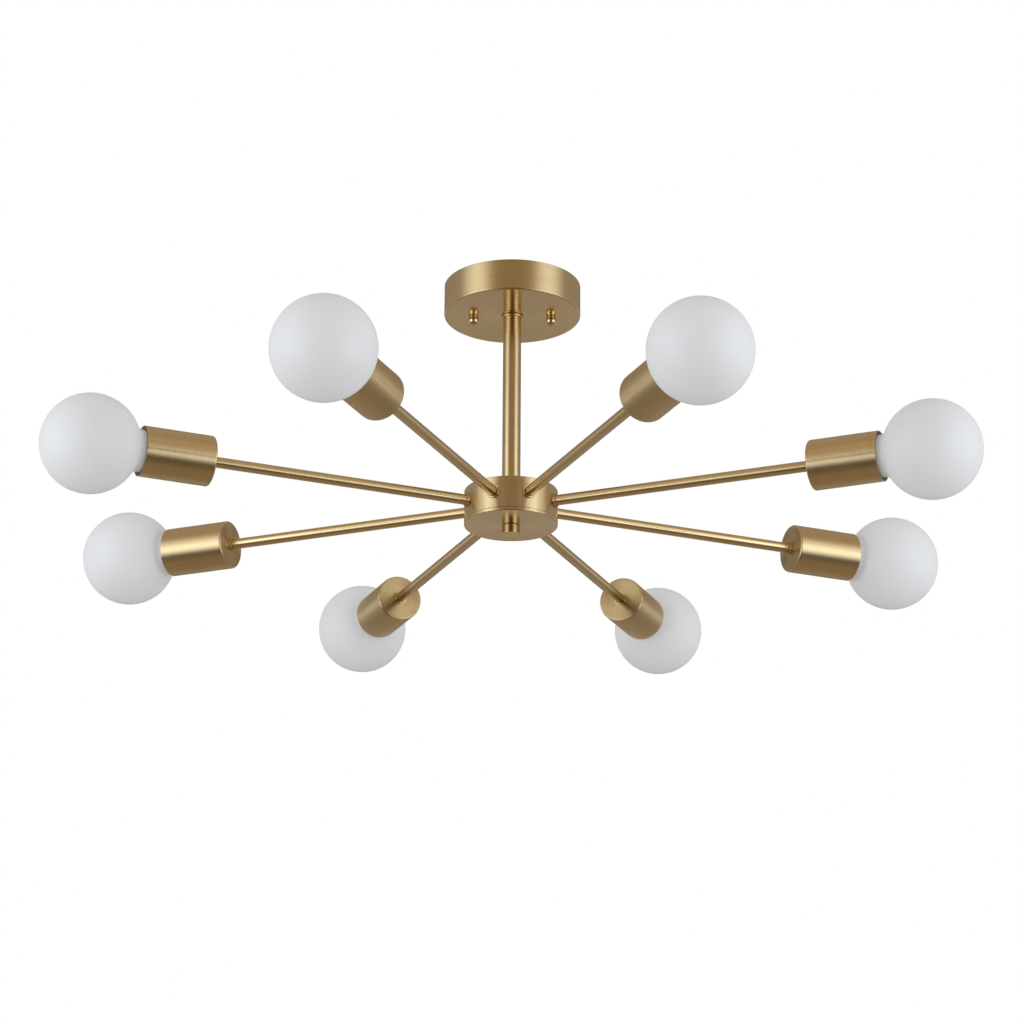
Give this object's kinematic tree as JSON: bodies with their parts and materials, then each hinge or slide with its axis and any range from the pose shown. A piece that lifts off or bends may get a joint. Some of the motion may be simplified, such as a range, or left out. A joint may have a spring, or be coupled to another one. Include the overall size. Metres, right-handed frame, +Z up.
{
  "type": "multi arm chandelier",
  "caption": "Flush-hung ceiling light: straight arms radiate level from a drum hub on a short stem, each ending in a cup with a globe lamp.",
  "frame": {"origin": "centre of the fixture on the ceiling plane, midway between the bracket's two box-screw slots", "axes": "+Z up into the ceiling, along the stem; +X along the mounting bracket and its two studs; the arms lie level, the first one half a pitch (22.5 degrees) from +X"},
  "size_m": [0.7416, 0.7416, 0.238],
  "materials": {
    "satin_brass": "brushed satin, clear lacquered",
    "zinc_steel": "zinc plated",
    "ground_green": "green passivated",
    "opal_glass": "opal white, smooth",
    "lamp_cap": "bright",
    "contact_brass": "plain pressed",
    "phenolic": "moulded, black",
    "insulator": "vitreous black with a solder button"
  },
  "bodies": {
    "fixture": {"canopy": "satin_brass", "mounting_bracket": "zinc_steel", "bracket_studs": "zinc_steel", "ground_screw": "ground_green", "ball_cap_nuts": "satin_brass", "stem": "satin_brass", "stem_collar": "satin_brass", "stem_locknuts": "zinc_steel", "hub_body": "satin_brass", "hub_cover": "satin_brass", "hub_strap": "zinc_steel", "finial": "satin_brass", "hub_arm_collars": "satin_brass", "cup_arm_collars": "satin_brass", "hub_arm_locknuts": "zinc_steel", "cup_arm_locknuts": "zinc_steel", "lampholder_bodies": "phenolic", "screw_shells": "contact_brass", "centre_contacts": "contact_brass", "arm_tube_1": "satin_brass", "socket_cup_1": "satin_brass", "arm_tube_2": "satin_brass", "socket_cup_2": "satin_brass", "arm_tube_3": "satin_brass", "socket_cup_3": "satin_brass", "arm_tube_4": "satin_brass", "socket_cup_4": "satin_brass", "arm_tube_5": "satin_brass", "socket_cup_5": "satin_brass", "arm_tube_6": "satin_brass", "socket_cup_6": "satin_brass", "arm_tube_7": "satin_brass", "socket_cup_7": "satin_brass", "arm_tube_8": "satin_brass", "socket_cup_8": "satin_brass"},
    "bulb_tip_1": {"bulb_tip_1": "insulator"},
    "bulb_1": {"bulb_globe_1": "opal_glass", "bulb_cap_1": "lamp_cap"},
    "bulb_tip_2": {"bulb_tip_2": "insulator"},
    "bulb_2": {"bulb_globe_2": "opal_glass", "bulb_cap_2": "lamp_cap"},
    "bulb_tip_3": {"bulb_tip_3": "insulator"},
    "bulb_3": {"bulb_globe_3": "opal_glass", "bulb_cap_3": "lamp_cap"},
    "bulb_tip_4": {"bulb_tip_4": "insulator"},
    "bulb_4": {"bulb_globe_4": "opal_glass", "bulb_cap_4": "lamp_cap"},
    "bulb_tip_5": {"bulb_tip_5": "insulator"},
    "bulb_5": {"bulb_globe_5": "opal_glass", "bulb_cap_5": "lamp_cap"},
    "bulb_tip_6": {"bulb_tip_6": "insulator"},
    "bulb_6": {"bulb_globe_6": "opal_glass", "bulb_cap_6": "lamp_cap"},
    "bulb_tip_7": {"bulb_tip_7": "insulator"},
    "bulb_7": {"bulb_globe_7": "opal_glass", "bulb_cap_7": "lamp_cap"},
    "bulb_tip_8": {"bulb_tip_8": "insulator"},
    "bulb_8": {"bulb_globe_8": "opal_glass", "bulb_cap_8": "lamp_cap"}
  },
  "joints": [
    {"name": "bulb_1_travel", "type": "slide", "parent": "fixture", "child": "bulb_tip_1", "axis": [0.9239, 0.3827, 0], "range_m": [0, 0.02]},
    {"name": "bulb_1_unscrew", "type": "hinge", "parent": "bulb_tip_1", "child": "bulb_1", "pos_m": [0.33078, 0.13702, -0.198], "axis": [0.9239, 0.3827, 0], "range_deg": [0, 1980]},
    {"name": "bulb_2_travel", "type": "slide", "parent": "fixture", "child": "bulb_tip_2", "axis": [0.3827, 0.9239, 0], "range_m": [0, 0.02]},
    {"name": "bulb_2_unscrew", "type": "hinge", "parent": "bulb_tip_2", "child": "bulb_2", "pos_m": [0.13702, 0.33078, -0.198], "axis": [0.3827, 0.9239, 0], "range_deg": [0, 1980]},
    {"name": "bulb_3_travel", "type": "slide", "parent": "fixture", "child": "bulb_tip_3", "axis": [-0.3827, 0.9239, 0], "range_m": [0, 0.02]},
    {"name": "bulb_3_unscrew", "type": "hinge", "parent": "bulb_tip_3", "child": "bulb_3", "pos_m": [-0.13702, 0.33078, -0.198], "axis": [-0.3827, 0.9239, 0], "range_deg": [0, 1980]},
    {"name": "bulb_4_travel", "type": "slide", "parent": "fixture", "child": "bulb_tip_4", "axis": [-0.9239, 0.3827, 0], "range_m": [0, 0.02]},
    {"name": "bulb_4_unscrew", "type": "hinge", "parent": "bulb_tip_4", "child": "bulb_4", "pos_m": [-0.33078, 0.13702, -0.198], "axis": [-0.9239, 0.3827, 0], "range_deg": [0, 1980]},
    {"name": "bulb_5_travel", "type": "slide", "parent": "fixture", "child": "bulb_tip_5", "axis": [-0.9239, -0.3827, 0], "range_m": [0, 0.02]},
    {"name": "bulb_5_unscrew", "type": "hinge", "parent": "bulb_tip_5", "child": "bulb_5", "pos_m": [-0.33078, -0.13702, -0.198], "axis": [-0.9239, -0.3827, 0], "range_deg": [0, 1980]},
    {"name": "bulb_6_travel", "type": "slide", "parent": "fixture", "child": "bulb_tip_6", "axis": [-0.3827, -0.9239, 0], "range_m": [0, 0.02]},
    {"name": "bulb_6_unscrew", "type": "hinge", "parent": "bulb_tip_6", "child": "bulb_6", "pos_m": [-0.13702, -0.33078, -0.198], "axis": [-0.3827, -0.9239, 0], "range_deg": [0, 1980]},
    {"name": "bulb_7_travel", "type": "slide", "parent": "fixture", "child": "bulb_tip_7", "axis": [0.3827, -0.9239, 0], "range_m": [0, 0.02]},
    {"name": "bulb_7_unscrew", "type": "hinge", "parent": "bulb_tip_7", "child": "bulb_7", "pos_m": [0.13702, -0.33078, -0.198], "axis": [0.3827, -0.9239, 0], "range_deg": [0, 1980]},
    {"name": "bulb_8_travel", "type": "slide", "parent": "fixture", "child": "bulb_tip_8", "axis": [0.9239, -0.3827, 0], "range_m": [0, 0.02]},
    {"name": "bulb_8_unscrew", "type": "hinge", "parent": "bulb_tip_8", "child": "bulb_8", "pos_m": [0.33078, -0.13702, -0.198], "axis": [0.9239, -0.3827, 0], "range_deg": [0, 1980]}
  ],
  "couplings": [
    {"joint": "bulb_1_travel", "follows": "bulb_1_unscrew", "m_per_rad": 0.00057751},
    {"joint": "bulb_2_travel", "follows": "bulb_2_unscrew", "m_per_rad": 0.00057751},
    {"joint": "bulb_3_travel", "follows": "bulb_3_unscrew", "m_per_rad": 0.00057751},
    {"joint": "bulb_4_travel", "follows": "bulb_4_unscrew", "m_per_rad": 0.00057751},
    {"joint": "bulb_5_travel", "follows": "bulb_5_unscrew", "m_per_rad": 0.00057751},
    {"joint": "bulb_6_travel", "follows": "bulb_6_unscrew", "m_per_rad": 0.00057751},
    {"joint": "bulb_7_travel", "follows": "bulb_7_unscrew", "m_per_rad": 0.00057751},
    {"joint": "bulb_8_travel", "follows": "bulb_8_unscrew", "m_per_rad": 0.00057751}
  ]
}
